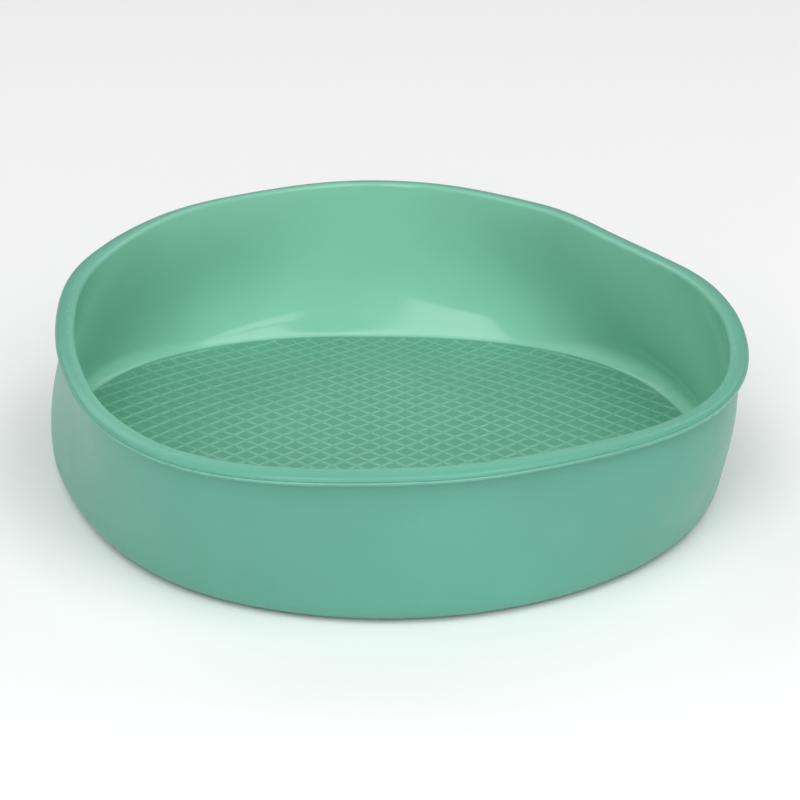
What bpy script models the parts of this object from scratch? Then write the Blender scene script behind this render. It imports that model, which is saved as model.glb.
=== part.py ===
"""Flexible round pan, moulded in one piece from silicone rubber.

The pan is first turned as a blank: a flat floor, a rounded corner, an upright
wall and an outward lip, all from one section. The soft wall doesn't stand
true, so the blank is then let go slack: a few broad bends lean it in or out.
All the way round, the corner opens or closes until it meets the foot of the
wall, and the wall bends between its foot, its belly and its lip. The section
keeps its length and its thickness throughout.

+Z is up, +Y is the back (north) and +X the right (east). The origin is the
middle of the underside, on the surface that the pan stands on.
"""

import math

import bpy
import numpy as np

MM = 0.001

# Sizes of the blank, in millimetres.
THICKNESS = 2.0      # of the floor and the wall
FLOOR_RADIUS = 113.5  # of the flat floor, out to where its corner starts
CORNER_RADIUS = 7.0  # of the corner's middle line
WALL_LENGTH = 56.0   # from the corner's top to the lip's crown
LIP_WIDTH = 6.5      # from the wall's inner face to the lip's outer edge
LIP_THICKNESS = 4.0  # from the crown to the lip's underside
LIP_STEP = 0.3       # the lower band is set in this far at the parting line
LIP_STEP_DROP = 2.8  # from the crown down to the parting line

# Resolution.
SEGMENTS = 96        # around the pan
CORNER_STEPS = 5     # along a quarter turn
WALL_STEPS = 11      # up the wall
BEND_STEPS = 12      # into which a bent stretch of wall is summed

# How the slack wall stands where nothing bends it: the lean of its foot, its
# belly and its lip, in degrees from upright and positive outwards, and how far
# the floor's outline is pushed out, in millimetres.
UNBENT = (5, 0, 0, 2)

# The bends. Each is strongest at its own azimuth, in degrees anticlockwise
# from +X, and dies away over its reach to either side.
BENDS = (
    # azimuth, reach, then what it adds to foot, belly, lip and outline
    (0, 40, 0, -3, -8, 0),        # the right side's lip curls in
    (32, 38, -36, 0, 0, 0),       # the foot folds under at the back right
    (45, 55, 0, -15, 0, 0),       # the back right wall falls in
    (72, 36, 29, 0, 0, 0),        # the foot of the back wall opens
    (90, 60, 0, 0, 5, -14),       # the back of the floor is drawn in
    (90, 32, 0, 9, 0, 0),         # the wall above it lies back
    (108, 36, 26, 0, 0, 0),       # the foot opens here as well
    (128, 45, 0, -10, 10, 1),     # the back left wall falls in
    (153, 30, -21, 0, 0, 2),      # the foot folds under at the back left
    (170, 55, 0, -13, -14, 0),    # the left wall falls in
    (200, 45, 0, 0, 0, -6),       # the left of the floor is drawn in
    (240, 35, 6, 7, 0, 0),        # the front left wall bulges
    (270, 100, 3, 10, 4, 0),      # the whole front leans out
    (328, 38, 12, 10, -15, 1),    # the front right bulges under its lip
)

SILICONE_GREEN = (0.14, 0.43, 0.29, 1.0)


def clear_scene():
    """Remove every object, so that the script can be run again."""
    for found in list(bpy.data.objects):
        bpy.data.objects.remove(found, do_unlink=True)


def make_silicone():
    """The pan's one material: satin, slightly waxy silicone rubber."""
    silicone = bpy.data.materials.new("silicone")
    silicone.use_nodes = True
    shader = silicone.node_tree.nodes["Principled BSDF"]
    shader.inputs["Base Color"].default_value = SILICONE_GREEN
    shader.inputs["Roughness"].default_value = 0.38
    shader.inputs["Metallic"].default_value = 0.0
    return silicone


def corner_arc(radius, downwards):
    """Points of a quarter turn between the floor and the upright wall."""
    centre_height = THICKNESS / 2 + CORNER_RADIUS
    arc = []
    for step in range(CORNER_STEPS + 1):
        turn = math.radians(90.0 * step / CORNER_STEPS)
        arc.append((
            FLOOR_RADIUS + radius * math.sin(turn),
            centre_height - radius * math.cos(turn),
        ))
    return arc[::-1] if downwards else arc


def wall_run(radius, low, high):
    """Points up a plain stretch of the wall, without its two ends."""
    heights = np.linspace(low, high, WALL_STEPS + 1)[1:-1]
    return [(radius, float(height)) for height in heights]


def lip_section(wall_radius, top):
    """The lip from the wall's inner face, over the crown, to its underside."""
    inner = wall_radius - THICKNESS / 2
    outer = inner + LIP_WIDTH
    band = outer - LIP_STEP
    under = top - LIP_THICKNESS
    part = top - LIP_STEP_DROP
    return [
        (inner, top - 1.6),
        (inner + 0.4, top - 0.6),
        (inner + 1.4, top - 0.1),
        (inner + 2.8, top),
        (inner + 4.4, top - 0.2),
        (outer - 0.7, top - 0.8),
        (outer, top - 1.8),
        (outer, part),
        (band, part - 0.2),
        (band, under + 0.5),
        (band - 0.5, under),
        (wall_radius + THICKNESS / 2 + 0.8, under),
        (wall_radius + THICKNESS / 2, under - 0.8),
    ]


def blank_section():
    """Radius and height round the whole section, from the middle of the floor
    up the inside, over the lip and down the outside to the underside."""
    half = THICKNESS / 2
    wall_radius = FLOOR_RADIUS + CORNER_RADIUS
    foot = half + CORNER_RADIUS
    top = foot + WALL_LENGTH
    lip = lip_section(wall_radius, top)
    section = [(0.0, THICKNESS), (FLOOR_RADIUS / 2, THICKNESS)]
    section += corner_arc(CORNER_RADIUS - half, downwards=False)
    section += wall_run(wall_radius - half, foot, lip[0][1])
    section += lip
    section += wall_run(wall_radius + half, foot, lip[-1][1])[::-1]
    section += corner_arc(CORNER_RADIUS + half, downwards=True)
    section += [(FLOOR_RADIUS / 2, 0.0), (0.0, 0.0)]
    return section


def turn_blank(section):
    """Sweep the section round the Z axis and return the closed mesh."""
    mesh = bpy.data.meshes.new("blank")
    points = [(radius * MM, 0.0, height * MM) for radius, height in section]
    edges = [(index, index + 1) for index in range(len(points) - 1)]
    mesh.from_pydata(points, edges, [])
    blank = bpy.data.objects.new("blank", mesh)
    bpy.context.scene.collection.objects.link(blank)
    screw = blank.modifiers.new("turn", "SCREW")
    screw.axis = "Z"
    screw.steps = SEGMENTS
    screw.render_steps = SEGMENTS
    screw.use_merge_vertices = True
    screw.merge_threshold = 0.0001
    view = bpy.context.evaluated_depsgraph_get()
    turned = bpy.data.meshes.new_from_object(blank.evaluated_get(view))
    bpy.data.objects.remove(blank, do_unlink=True)
    return turned


def stance(azimuth):
    """The wall's three leans and the floor's radius at an azimuth."""
    values = list(UNBENT)
    for middle, reach, *added in BENDS:
        apart = abs((math.degrees(azimuth) - middle + 180) % 360 - 180)
        if apart < reach:
            share = (1 + math.cos(math.pi * apart / reach)) / 2
            values = [value + share * more for value, more in zip(values, added)]
    foot, belly, lip = map(math.radians, values[:3])
    return foot, belly, lip, FLOOR_RADIUS + values[3]


def lean_at(share, foot, belly, lip):
    """The wall's lean at a share of its length, through its three leans."""
    low = foot * (1 - share) * (1 - 2 * share)
    high = lip * share * (2 * share - 1)
    return low + 4 * belly * share * (1 - share) + high


def stand(radius, height, azimuth):
    """Where a point of the blank lies once the wall is slack."""
    *leans, edge = stance(azimuth)
    pivot = THICKNESS / 2 + CORNER_RADIUS
    quarter = CORNER_RADIUS * math.pi / 2
    if radius <= FLOOR_RADIUS + 0.001:
        return radius * edge / FLOOR_RADIUS, height
    # Where the point is on the section's middle line, and how far outside it.
    across = radius - FLOOR_RADIUS
    if height <= pivot + 0.001:
        along = CORNER_RADIUS * math.atan2(across, pivot - height)
        outside = math.hypot(across, pivot - height) - CORNER_RADIUS
    else:
        along = quarter + height - pivot
        outside = across - CORNER_RADIUS
    # The corner turns until it meets the wall's foot.
    bent = CORNER_RADIUS * (math.pi / 2 - leans[0])
    turn = min(along, bent) / CORNER_RADIUS
    middle_radius = edge + CORNER_RADIUS * math.sin(turn)
    middle_height = pivot - CORNER_RADIUS * math.cos(turn)
    lean = math.pi / 2 - turn
    # The wall is a bent strip that keeps its length.
    if along > bent:
        length = quarter + WALL_LENGTH - bent
        end = (along - bent) / length
        for step in range(BEND_STEPS):
            lean = lean_at(end * (step + 0.5) / BEND_STEPS, *leans)
            middle_radius += math.sin(lean) * end * length / BEND_STEPS
            middle_height += math.cos(lean) * end * length / BEND_STEPS
        lean = lean_at(end, *leans)
    return (
        middle_radius + outside * math.cos(lean),
        middle_height - outside * math.sin(lean),
    )


def let_go(mesh):
    """Move every point of the turned blank to where the slack pan has it."""
    for vertex in mesh.vertices:
        radius = math.hypot(vertex.co.x, vertex.co.y) / MM
        azimuth = math.atan2(vertex.co.y, vertex.co.x)
        radius, height = stand(radius, vertex.co.z / MM, azimuth)
        vertex.co.x = radius * MM * math.cos(azimuth)
        vertex.co.y = radius * MM * math.sin(azimuth)
        vertex.co.z = height * MM


def build_pan():
    """The whole pan as one named object in a collection of its own."""
    collection = bpy.data.collections.new("flexible_round_pan")
    bpy.context.scene.collection.children.link(collection)
    mesh = turn_blank(blank_section())
    mesh.name = "pan"
    let_go(mesh)
    mesh.materials.append(make_silicone())
    mesh.shade_smooth()
    mesh.set_sharp_from_angle(angle=math.radians(50))
    collection.objects.link(bpy.data.objects.new("pan", mesh))


clear_scene()
build_pan()
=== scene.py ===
"""The looks of the flexible round pan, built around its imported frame.

The pan is one silicone moulding, so it is shown as one closed mesh: a thin
slack wall, a rolled lip with the parting line of its mould, a rounded corner
and a flat floor with a net of low pads. Lengths are in millimetres until a
mesh is written, which turns them into metres.
"""

import math

import bpy
import numpy as np
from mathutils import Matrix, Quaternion, Vector
from mathutils.geometry import delaunay_2d_cdt


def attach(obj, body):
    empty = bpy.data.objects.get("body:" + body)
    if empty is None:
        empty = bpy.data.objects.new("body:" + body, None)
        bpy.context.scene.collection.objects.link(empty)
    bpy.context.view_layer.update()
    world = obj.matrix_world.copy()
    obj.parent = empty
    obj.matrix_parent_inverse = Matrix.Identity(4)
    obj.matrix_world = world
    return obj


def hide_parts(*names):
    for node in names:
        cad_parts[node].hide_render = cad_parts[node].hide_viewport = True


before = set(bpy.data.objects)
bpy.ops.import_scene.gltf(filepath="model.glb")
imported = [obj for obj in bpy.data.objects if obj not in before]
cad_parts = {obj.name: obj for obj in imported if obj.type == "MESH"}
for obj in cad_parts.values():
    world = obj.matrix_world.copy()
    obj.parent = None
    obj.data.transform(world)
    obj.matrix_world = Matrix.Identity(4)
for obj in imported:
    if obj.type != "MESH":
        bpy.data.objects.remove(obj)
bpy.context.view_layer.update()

MM = 0.001

# Sizes of the moulding before its wall goes slack.
THICKNESS = 2.0       # of the floor and the wall
FLOOR_RADIUS = 113.5  # of the flat floor, out to where its corner starts
CORNER_RADIUS = 7.0   # of the corner's middle line
WALL_LENGTH = 56.0    # from the corner's top to the lip's crown
LIP_WIDTH = 6.5       # from the wall's inner face to the lip's outer edge
LIP_THICKNESS = 4.0   # from the crown to the lip's underside
EDGE_ROUND = 1.5      # radius of the lip's inner and outer edges
BAND_ROUND = 0.7      # radius under the band below the parting line
FILLET = 0.9          # radius from the lip's underside to the wall

HALF = THICKNESS / 2
PIVOT = HALF + CORNER_RADIUS  # height of the corner's centre
INNER_FACE = FLOOR_RADIUS + CORNER_RADIUS - HALF
OUTER_FACE = INNER_FACE + THICKNESS

# The net on the floor: rhombic pads parted by fine grooves.
CELL_ACROSS = 9.0     # along X, corner to corner
CELL_ALONG = 8.15     # along Y, corner to corner
NET_CLIMB = 28.5      # degrees of the corner that the net still covers
PAD_HEIGHT = 0.34
PAD_BEVEL = 0.75      # from a groove's edge to where a pad is level
GROOVE_WIDTH = 0.16   # across the bottom of a groove
NET_MARGIN = 0.3      # kept clear of grid points inside the net's round edge
CREASE_GAP = 0.0175   # of a cell, from a crease to the grid line beside it

LINE_PITCH = 1 / math.hypot(1 / CELL_ACROSS, 1 / CELL_ALONG)  # groove to groove
NET_RADIUS = FLOOR_RADIUS + (CORNER_RADIUS - HALF) * math.radians(NET_CLIMB)

# The one green in lit and shaded copies: lighter inside the wall, darker outside and on the net
# as painted shade, with painted highlights on the pads' bevels and the lip's outer edge; and
# its finishes.
LIT_INNER_GREEN = (0.265, 0.61, 0.455, 1.0)
SHADED_OUTER_GREEN = (0.115, 0.375, 0.28, 1.0)
SHADED_NET_GREEN = (0.13, 0.37, 0.265, 1.0)
BEVEL_SHADE_SHARE = 0.72    # of the net's painted shade kept on its pads' bevels, lighter there as a painted highlight
LIP_HIGHLIGHT_SHARE = 0.7  # of the outside's painted shade on the lip's outer edge, lighter there as a painted highlight
LIP_HIGHLIGHT_DEPTH = 0.6  # how far in that painted highlight reaches
INNER_ROUGHNESS = 0.12
OUTER_ROUGHNESS = 0.36

# Resolution.
COLUMNS = 480         # around the pan
ROW_STEP = 1.3        # along the section, at most
BEND_STEPS = 24       # into which a bent stretch of wall is summed
TOLERANCE = 1e-6      # allowed when two lengths are compared

# How the slack wall stands where nothing bends it: the lean of its foot, its
# belly and its lip, in degrees from upright and positive outwards, and how far
# the floor's outline is pushed out, in millimetres.
UNBENT = (5, 0, 0, 2)

# The bends. Each is strongest at its own azimuth, in degrees anticlockwise
# from +X, and dies away over its reach to either side.
BENDS = (
    # azimuth, reach, then what it adds to foot, belly, lip and outline
    (0, 40, 0, -3, -8, 0),        # the right side's lip curls in
    (32, 38, -36, 0, 0, 0),       # the foot folds under at the back right
    (45, 55, 0, -15, 0, 0),       # the back right wall falls in
    (72, 36, 29, 0, 0, 0),        # the foot of the back wall opens
    (90, 60, 0, 0, 5, -14),       # the back of the floor is drawn in
    (90, 32, 0, 9, 0, 0),         # the wall above it lies back
    (108, 36, 26, 0, 0, 0),       # the foot opens here as well
    (128, 45, 0, -10, 10, 1),     # the back left wall falls in
    (153, 30, -21, 0, 0, 2),      # the foot folds under at the back left
    (170, 55, 0, -13, -14, 0),    # the left wall falls in
    (200, 45, 0, 0, 0, -6),       # the left of the floor is drawn in
    (240, 35, 6, 7, 0, 0),        # the front left wall bulges
    (270, 100, 3, 10, 4, 0),      # the whole front leans out
    (328, 38, 12, 10, -15, 1),    # the front right bulges under its lip
)

# Stage and camera: lengths in metres, angles in degrees, and the lens and its
# sensor in millimetres.
FLOOR_REACH = 6.0
FLOOR_DROP = 0.0002
FLOOR_WHITE = (0.95, 0.95, 0.95, 1.0)
WORLD_STRENGTH = 0.18
LIGHT_AIM = Vector((0.0, 0.0, 0.03))
CAMERA_ELEVATION = 26.5
CAMERA_DISTANCE = 1.25
CAMERA_AIM = Vector((0.0066, 0.01015, 0.02035))
CAMERA_ROLL = 0.6
LENS = 153.8
SENSOR_WIDTH = 36.0


def stance(azimuth):
    """The wall's three leans and the floor's radius at each azimuth."""
    values = np.repeat(np.array(UNBENT, float)[:, None], len(azimuth), 1)
    for middle, reach, *added in BENDS:
        apart = np.abs((np.degrees(azimuth) - middle + 180) % 360 - 180)
        share = (1 + np.cos(math.pi * np.minimum(apart / reach, 1))) / 2
        values += np.outer(added, share)
    foot, belly, lip = np.radians(values[:3])
    return foot, belly, lip, FLOOR_RADIUS + values[3]


def stand(radius, height, azimuth):
    """Where points of the upright moulding lie once the wall is slack."""
    foot, belly, lip, edge = stance(azimuth)
    quarter = CORNER_RADIUS * math.pi / 2
    # Where the point is on the section's middle line, and how far outside it.
    across = np.maximum(radius - FLOOR_RADIUS, 0.0)
    in_corner = height <= PIVOT + TOLERANCE
    drop = PIVOT - height
    along = np.where(in_corner, CORNER_RADIUS * np.arctan2(across, drop), quarter - drop)
    outside = np.where(in_corner, np.hypot(across, drop), across) - CORNER_RADIUS
    # The corner turns until it meets the wall's foot.
    bent = CORNER_RADIUS * (math.pi / 2 - foot)
    turn = np.minimum(along, bent) / CORNER_RADIUS
    new_radius = edge + CORNER_RADIUS * np.sin(turn)
    new_height = PIVOT - CORNER_RADIUS * np.cos(turn)
    # The wall is a bent strip that keeps its length.
    length = quarter + WALL_LENGTH - bent
    end = np.maximum(along - bent, 0.0) / length

    def lean_at(share):
        low = foot * (1 - share) * (1 - 2 * share)
        high = lip * share * (2 * share - 1)
        return low + 4 * belly * share * (1 - share) + high

    for step in range(BEND_STEPS):
        lean = lean_at(end * (step + 0.5) / BEND_STEPS)
        new_radius += np.sin(lean) * end * length / BEND_STEPS
        new_height += np.cos(lean) * end * length / BEND_STEPS
    lean = np.where(along < bent, math.pi / 2 - turn, lean_at(end))
    new_radius += outside * np.cos(lean)
    new_height -= outside * np.sin(lean)
    # The floor gives way mostly near its edge, so its net stays even.
    on_floor = radius <= FLOOR_RADIUS + TOLERANCE
    pushed = radius + (edge - FLOOR_RADIUS) * (radius / FLOOR_RADIUS) ** 2
    return np.where(on_floor, pushed, new_radius), np.where(on_floor, height, new_height)


def spread(points, step):
    """The same open outline with extra points, at most one step apart."""
    fine = [points[0]]
    for start, end in zip(points, points[1:]):
        count = max(1, math.ceil(math.dist(start, end) / step))
        for index in range(1, count + 1):
            share = index / count
            fine.append((
                start[0] + (end[0] - start[0]) * share,
                start[1] + (end[1] - start[1]) * share,
            ))
    return fine


def arc(centre, radius, start, end, count):
    """Points of an arc; angles in degrees from straight out, upwards."""
    points = []
    for index in range(count + 1):
        angle = math.radians(start + (end - start) * index / count)
        points.append((
            centre[0] + radius * math.cos(angle),
            centre[1] + radius * math.sin(angle),
        ))
    return points


def lip_section(top):
    """The lip, from the wall's inner face over the crown to its outer face."""
    outer = INNER_FACE + LIP_WIDTH
    under = top - LIP_THICKNESS
    # Rounded inner edge, low crown, rounded outer edge.
    points = arc((INNER_FACE + EDGE_ROUND, top - 1.6), EDGE_ROUND, 180, 95, 7)
    points += [(INNER_FACE + 2.6, top), (INNER_FACE + 3.6, top - 0.08)]
    points += [(INNER_FACE + 4.6, top - 0.32)]
    points += arc((outer - EDGE_ROUND, top - 2.0), EDGE_ROUND, 62, 0, 6)
    # Parting line: a fine groove and a bead.
    points += [(outer - 0.3, top - 2.2), (outer - 0.3, top - 2.35), (outer, top - 2.45)]
    points += [(outer + 0.18, top - 2.6), (outer + 0.2, top - 2.8), (outer, top - 3.0)]
    # The lower band is set in a little.
    points += [(outer - 0.35, top - 3.1), (outer - 0.4, top - 3.25)]
    points += arc((outer - 0.4 - BAND_ROUND, under + BAND_ROUND), BAND_ROUND, 0, -90, 5)
    points += arc((OUTER_FACE + FILLET, under - FILLET), FILLET, 90, 180, 5)
    return points


def section():
    """The section from the net's edge, up the inside and over the lip, down the
    outside to the underside's edge."""
    centre = (FLOOR_RADIUS, PIVOT)
    top = PIVOT + WALL_LENGTH
    points = arc(centre, CORNER_RADIUS - HALF, -90 + NET_CLIMB, 0, 9)
    points += [(INNER_FACE, top - 2.2)]
    points += lip_section(top)
    points += arc(centre, CORNER_RADIUS + HALF, 0, -90, 14)
    return spread(points, ROW_STEP)


def pad_profile(line):
    """0 in a groove to 1 on a pad, from a line coordinate of the net."""
    away = np.abs(line - np.round(line)) * LINE_PITCH - GROOVE_WIDTH / 2
    return np.clip(away / PAD_BEVEL, 0, 1)


def grid_lines():
    """Line coordinates of the net's grid. Each cell has a line at either side
    of its grooves and of its bevels, with others close by to keep them crisp."""
    groove = GROOVE_WIDTH / 2 / LINE_PITCH
    level = groove + PAD_BEVEL / LINE_PITCH
    steps = np.array((
        groove, groove + CREASE_GAP, level - CREASE_GAP, level, level + CREASE_GAP,
    ))
    steps = np.concatenate([steps, 1 - steps[::-1]])
    reach = math.ceil(NET_RADIUS * 2 / min(CELL_ACROSS, CELL_ALONG)) + 1
    return (np.arange(-reach, reach)[:, None] + steps[None]).ravel()


def floor_net():
    """The net's grid inside its own edge, laid out flat: points with their
    height over the grooves, quads, line values, and which cells are whole."""
    lines = grid_lines()
    a, b = np.meshgrid(lines, lines, indexing="ij")
    x = CELL_ACROSS * (a + b) / 2
    y = CELL_ALONG * (a - b) / 2
    keep = np.hypot(x, y) <= NET_RADIUS - NET_MARGIN
    rise = PAD_HEIGHT * pad_profile(a) * pad_profile(b)
    whole = keep[:-1, :-1] & keep[1:, :-1] & keep[1:, 1:] & keep[:-1, 1:]
    used = np.zeros_like(keep)
    rows, columns = keep.shape
    for i in (0, 1):
        for j in (0, 1):
            used[i:rows - 1 + i, j:columns - 1 + j] |= whole
    index = np.full(keep.shape, -1)
    index[used] = np.arange(used.sum())
    points = np.stack([x[used], y[used], rise[used]], 1)
    i, j = np.nonzero(whole)
    # a rises to the upper right and b to the lower right.
    quads = np.stack([index[i, j], index[i, j + 1], index[i + 1, j + 1], index[i + 1, j]], 1)
    return points, quads, lines, whole


def climb(points):
    """Flat points of the net, laid on the floor and the start of the corner."""
    turn = np.arctan2(points[:, 1], points[:, 0])
    reach = np.hypot(points[:, 0], points[:, 1])
    inner = CORNER_RADIUS - HALF
    angle = np.maximum(reach - FLOOR_RADIUS, 0.0) / inner
    radius = np.minimum(reach, FLOOR_RADIUS) + (inner - points[:, 2]) * np.sin(angle)
    height = PIVOT - (inner - points[:, 2]) * np.cos(angle)
    return np.stack([radius * np.cos(turn), radius * np.sin(turn), height], 1)


def open_edges(quads):
    """Directed edges that only one face has."""
    edges = np.concatenate([quads[:, [k, (k + 1) % 4]] for k in range(4)])
    pairs = set(map(tuple, edges.tolist()))
    return [pair for pair in pairs if (pair[1], pair[0]) not in pairs]


def fill_band(points, quads, lines, whole, ring, base):
    """Triangles between the net's stepped outline and its round edge."""
    loose = sorted(open_edges(quads))
    rim = sorted({vertex for pair in loose for vertex in pair})
    place = {vertex: index for index, vertex in enumerate(rim)}
    flat = [Vector(points[vertex][:2]) for vertex in rim]
    count = len(flat)
    flat += [Vector(point) for point in ring]
    edges = [(place[start], place[end]) for start, end in loose]
    edges += [(count + k, count + (k + 1) % len(ring)) for k in range(len(ring))]
    verts, _, tris, origin, _, _ = delaunay_2d_cdt(flat, edges, [], 0, TOLERANCE)
    faces = []
    for tri in tris:
        corners = [verts[vertex] for vertex in tri]
        x, y = sum(corners, Vector((0, 0))) / 3
        row = np.searchsorted(lines, x / CELL_ACROSS + y / CELL_ALONG) - 1
        column = np.searchsorted(lines, x / CELL_ACROSS - y / CELL_ALONG) - 1
        if whole[row, column]:
            continue
        ids = []
        for vertex in tri:
            source = origin[vertex][0]
            ids.append(base + rim[source] if source < count else source - count)
        turn = (corners[1] - corners[0]).cross(corners[2] - corners[0])
        faces.append(ids if turn > 0 else ids[::-1])
    return faces


def turn_section(profile, azimuth):
    """The section swept round the Z axis: its points, its quads and the ring of
    points that it ends with."""
    points = np.stack([
        np.outer(profile[:, 0], np.cos(azimuth)).ravel(),
        np.outer(profile[:, 0], np.sin(azimuth)).ravel(),
        np.repeat(profile[:, 1], COLUMNS),
    ], 1)
    grid = np.arange(len(points)).reshape(-1, COLUMNS)
    after = np.roll(grid, -1, 1)
    quads = np.stack([grid[:-1], grid[1:], after[1:], after[:-1]], -1)
    return points, quads.reshape(-1, 4).tolist(), grid[-1].tolist()


def paint_regions(mesh, profile, flat):
    """Keep two shares for each point of the mesh: how far it counts as outside,
    for its painted shade and satin, and how much of the net's painted shade and satin it has."""
    # The outside's painted shade grows across the lip, from the inner face to the outer edge.
    across = np.sqrt(np.clip((profile[:, 0] - INNER_FACE) / LIP_WIDTH, 0, 1))
    row = np.arange(len(profile))
    outside = np.where(row > np.argmax(profile[:, 0]), 1.0, across)
    # The lip's outer edge takes less of it, a painted highlight where it catches the light.
    edge = INNER_FACE + LIP_WIDTH - LIP_HIGHLIGHT_DEPTH
    lit_lip_edge = (profile[:, 0] > edge) & (outside == 1.0)
    outside = np.where(lit_lip_edge, LIP_HIGHLIGHT_SHARE, outside)
    # Level pads take the net's full painted shade, their bevels less as a painted highlight.
    level = flat[:, 2] > 0.99 * PAD_HEIGHT
    shares = {
        "outside": [np.repeat(outside, COLUMNS), np.zeros(len(flat)), [1.0]],
        "net": [np.repeat(row == 0, COLUMNS), np.where(level, 1.0, BEVEL_SHADE_SHARE), [0.0]],
    }
    for name, values in shares.items():
        layer = mesh.attributes.new(name, "FLOAT", "POINT")
        layer.data.foreach_set("value", np.concatenate(values))


def build_mesh():
    """The whole moulding as one closed mesh: the turned section, the net, the
    band that joins them, and a fan for the underside."""
    profile = np.array(section())
    azimuth = np.arange(COLUMNS) * 2 * math.pi / COLUMNS
    sweep, faces, last = turn_section(profile, azimuth)
    flat, net, lines, whole = floor_net()
    ring = NET_RADIUS * np.stack([np.cos(azimuth), np.sin(azimuth)], 1)
    base = len(sweep)
    faces += (net + base).tolist()
    faces += fill_band(flat, net, lines, whole, ring, base)
    centre = base + len(flat)
    faces += [[centre, after, before] for before, after in zip(last, last[1:] + last[:1])]
    upright = np.concatenate([sweep, climb(flat), [[0.0, 0.0, 0.0]]])
    turn = np.arctan2(upright[:, 1], upright[:, 0])
    radius, height = stand(np.hypot(upright[:, 0], upright[:, 1]), upright[:, 2], turn)
    final = np.stack([radius * np.cos(turn), radius * np.sin(turn), height], 1)
    mesh = bpy.data.meshes.new("pan_moulding")
    mesh.from_pydata((final * MM).tolist(), [], faces)
    mesh.shade_smooth()
    paint_regions(mesh, profile, flat)
    return mesh


def silicone():
    """Silicone rubber: glossy inside the wall, satin on the net and outside, and painted darker
    there as shade.
    """
    material = bpy.data.materials.new("silicone")
    material.use_nodes = True
    nodes = material.node_tree.nodes
    links = material.node_tree.links
    shader = nodes["Principled BSDF"]
    shader.inputs["IOR"].default_value = 1.42
    shader.inputs["Subsurface Weight"].default_value = 0.25
    shader.inputs["Subsurface Scale"].default_value = 0.0004
    shader.inputs["Subsurface Radius"].default_value = (0.5, 1.0, 0.8)

    def feed(socket, value):
        if isinstance(value, bpy.types.NodeSocket):
            links.new(value, socket)
        else:
            socket.default_value = value

    def add(kind, *inputs, **settings):
        node = nodes.new(kind)
        for name, value in settings.items():
            setattr(node, name, value)
        for socket, value in zip(node.inputs, inputs):
            feed(socket, value)
        return node

    def blend(factor, low, high):
        node = add("ShaderNodeMix", data_type="RGBA")
        feed(node.inputs[0], factor)
        feed(node.inputs[6], low)
        feed(node.inputs[7], high)
        return node.outputs[2]

    def noise(scale, detail, roughness=0.5):
        node = add("ShaderNodeTexNoise", place)
        node.inputs["Scale"].default_value = scale
        node.inputs["Detail"].default_value = detail
        node.inputs["Roughness"].default_value = roughness
        return node.outputs["Fac"]

    def bump(height, strength, distance):
        node = add("ShaderNodeBump")
        node.inputs["Strength"].default_value = strength
        node.inputs["Distance"].default_value = distance
        links.new(height, node.inputs["Height"])
        return node

    place = add("ShaderNodeTexCoord").outputs["Object"]
    # Shares on the mesh for the painted shade of the outside and of the net, also used for
    # their satin.
    outside = add("ShaderNodeAttribute", attribute_name="outside").outputs["Fac"]
    net = add("ShaderNodeAttribute", attribute_name="net").outputs["Fac"]
    # Shade: the green lighter inside the wall, darker on the net and outside as painted shade,
    # lighter again on the bevels and the lip's edge as painted highlights, softly uneven all
    # over.
    shade = blend(net, blend(outside, LIT_INNER_GREEN, SHADED_OUTER_GREEN), SHADED_NET_GREEN)
    uneven = add("ShaderNodeMapRange", noise(22.0, 3.0), 0.3, 0.7, 0.96, 1.04)
    tone = add("ShaderNodeVectorMath", shade, operation="SCALE")
    links.new(uneven.outputs[0], tone.inputs["Scale"])
    links.new(tone.outputs[0], shader.inputs["Base Color"])
    # Finish: roughness by region, with handling marks.
    dull = add("ShaderNodeMath", outside, net, operation="MAXIMUM").outputs[0]
    finish = add("ShaderNodeMapRange", dull, 0.0, 1.0, INNER_ROUGHNESS, OUTER_ROUGHNESS)
    worn = add("ShaderNodeMapRange", noise(75.0, 6.0, 0.7), 0.35, 0.75, -0.03, 0.05)
    total = add("ShaderNodeMath", finish.outputs[0], worn.outputs[0], operation="ADD")
    links.new(total.outputs[0], shader.inputs["Roughness"])
    # Surface: the mould's fine grain, and a faint waviness under the gloss.
    grain = bump(noise(1500.0, 2.0), 0.15, 0.00004)
    wave = bump(noise(45.0, 1.0), 0.15, 0.0002)
    links.new(grain.outputs[0], wave.inputs["Normal"])
    links.new(wave.outputs[0], shader.inputs["Normal"])
    return material


def build_floor():
    """A wide plain pale floor, just under the pan."""
    mesh = bpy.data.meshes.new("floor")
    reach = FLOOR_REACH
    corners = [(-reach, -reach, 0), (reach, -reach, 0), (reach, reach, 0), (-reach, reach, 0)]
    mesh.from_pydata(corners, [], [(0, 1, 2, 3)])
    pale = bpy.data.materials.new("pale_floor")
    pale.use_nodes = True
    shader = pale.node_tree.nodes["Principled BSDF"]
    shader.inputs["Base Color"].default_value = FLOOR_WHITE
    shader.inputs["Roughness"].default_value = 0.8
    mesh.materials.append(pale)
    made = bpy.data.objects.new("floor", mesh)
    made.location.z = -FLOOR_DROP
    bpy.context.scene.collection.objects.link(made)
    return made


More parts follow.
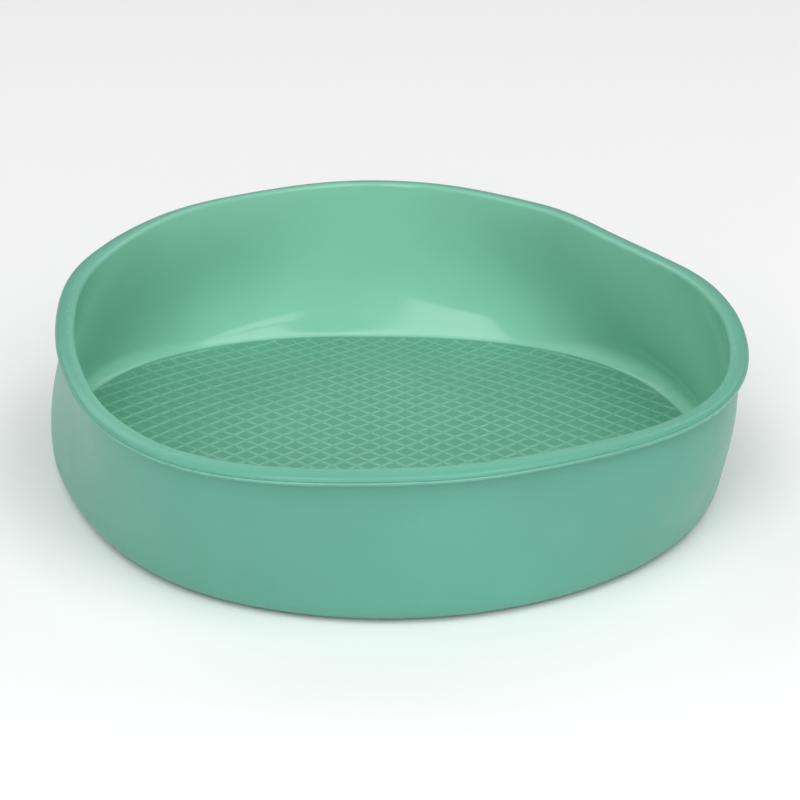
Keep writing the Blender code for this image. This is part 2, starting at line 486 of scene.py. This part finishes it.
def soft_box(name, azimuth, elevation, size, power, shift=0.0, distance=2.1):
    """A soft box facing the pan, at an azimuth from the front and an elevation
    in degrees, shifted sideways to the right."""
    turn = math.radians(azimuth)
    rise = math.radians(elevation)
    data = bpy.data.lights.new(name, "AREA")
    data.shape = "RECTANGLE"
    data.size, data.size_y = size
    data.energy = power
    light = bpy.data.objects.new(name, data)
    light.location = (
        distance * math.cos(rise) * math.sin(turn),
        -distance * math.cos(rise) * math.cos(turn),
        distance * math.sin(rise),
    )
    aim = LIGHT_AIM - light.location
    light.rotation_euler = aim.to_track_quat("-Z", "Y").to_euler()
    light.location += Vector((math.cos(turn), math.sin(turn), 0.0)) * shift
    bpy.context.scene.collection.objects.link(light)


def light_studio():
    """A dim white world, tall soft boxes in front, and dimmer ones at the left
    and behind."""
    world = bpy.data.worlds.new("studio")
    world.use_nodes = True
    background = world.node_tree.nodes["Background"]
    background.inputs["Color"].default_value = (1, 1, 1, 1)
    background.inputs["Strength"].default_value = WORLD_STRENGTH
    bpy.context.scene.world = world
    soft_box("key_right", 27, 51, (1.05, 2.0), 20, 0.25)
    soft_box("low_right", 27, 18, (1.05, 0.35), 3.7, 0.1)
    soft_box("key_left", -14, 44, (0.85, 2.5), 24, -0.08)
    soft_box("fill_left", -75, 40, (1.6, 1.6), 5)
    soft_box("back_left", -135, 40, (1.2, 1.2), 7)
    soft_box("back_right", 135, 40, (1.2, 1.2), 7)


def place_camera():
    """The camera, in front of the pan and looking down into it."""
    rise = math.radians(CAMERA_ELEVATION)
    data = bpy.data.cameras.new("camera")
    data.sensor_width = SENSOR_WIDTH
    data.lens = LENS
    camera = bpy.data.objects.new("camera", data)
    camera.location = (0.0, -CAMERA_DISTANCE * math.cos(rise), CAMERA_DISTANCE * math.sin(rise))
    aim = CAMERA_AIM - camera.location
    roll = Quaternion((0.0, 0.0, 1.0), math.radians(CAMERA_ROLL))
    camera.rotation_mode = "QUATERNION"
    camera.rotation_quaternion = aim.to_track_quat("-Z", "Y") @ roll
    bpy.context.scene.collection.objects.link(camera)
    bpy.context.scene.camera = camera
    bpy.context.scene.view_settings.view_transform = "Standard"


piece = bpy.data.objects.new("pan_moulding", build_mesh())
bpy.context.scene.collection.objects.link(piece)
piece.data.materials.append(silicone())
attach(piece, "root")
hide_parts("pan")

floor = build_floor()
light_studio()
place_camera()
